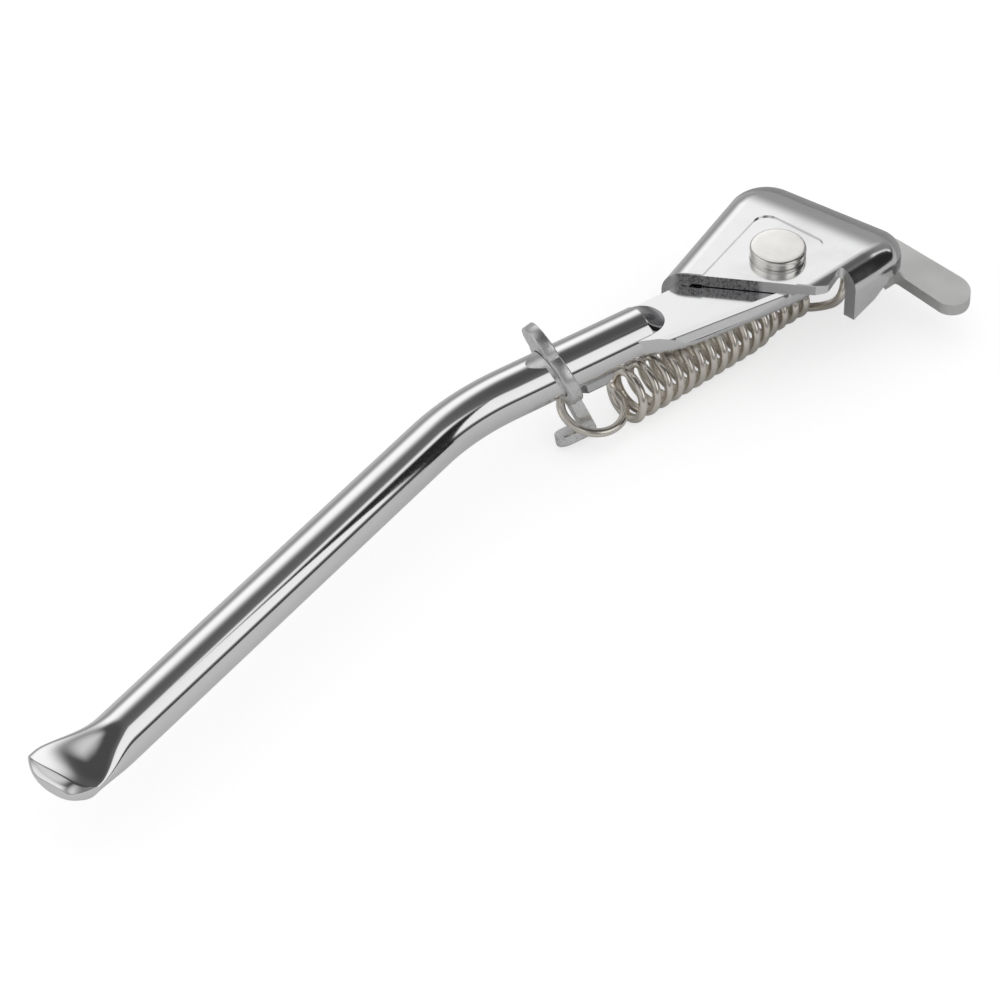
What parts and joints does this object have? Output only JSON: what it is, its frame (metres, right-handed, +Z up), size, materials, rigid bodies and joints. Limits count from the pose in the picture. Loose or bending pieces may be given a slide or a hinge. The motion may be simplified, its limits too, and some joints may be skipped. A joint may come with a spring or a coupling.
{
  "type": "bicycle side stand",
  "caption": "Chrome side stand for a bicycle: a pressed head bracket carries a swing leg on a rivet, and a tension spring snaps the leg between its deployed and folded stops.",
  "frame": {"origin": "middle of the flange's underside, halfway between the two frame-screw holes", "axes": "+Z up along the rivet, out of the top plate; +X along the bracket's back wall towards the tongue; +Y away from the leg, towards the wheel axle"},
  "size_m": [0.1152, 0.3423, 0.0387],
  "materials": {
    "bracket_chrome": "satin chrome over pressed steel, sheared edges left rough",
    "rivet_nickel": "satin nickel, slightly warm",
    "leg_chrome": "bright chrome",
    "spring_nickel": "bright nickel wire",
    "plate_zinc": "dull zinc, rough sheared edge",
    "lug_chrome": "satin chrome"
  },
  "bodies": {
    "bracket": {"head_bracket": "bracket_chrome", "pivot_rivet": "rivet_nickel"},
    "leg": {"leg": "leg_chrome", "spring_hook_plate": "plate_zinc", "stop_lug": "lug_chrome"},
    "spring": {"tension_spring": "spring_nickel"}
  },
  "joints": [
    {"name": "leg_fold", "type": "hinge", "parent": "bracket", "child": "leg", "pos_m": [0.006, -0.0386, 0], "axis": [0, 0, 1], "range_deg": [0, 92]},
    {"name": "spring_swing", "type": "hinge", "parent": "bracket", "child": "spring", "pos_m": [0.0155, -0.009, 0.009], "axis": [0, 0, 1], "range_deg": [0, 72], "deforming": ["tension_spring"]}
  ],
  "couplings": [
    {"joint": "spring_swing", "follows": "leg_fold", "ratio": 0.762}
  ]
}
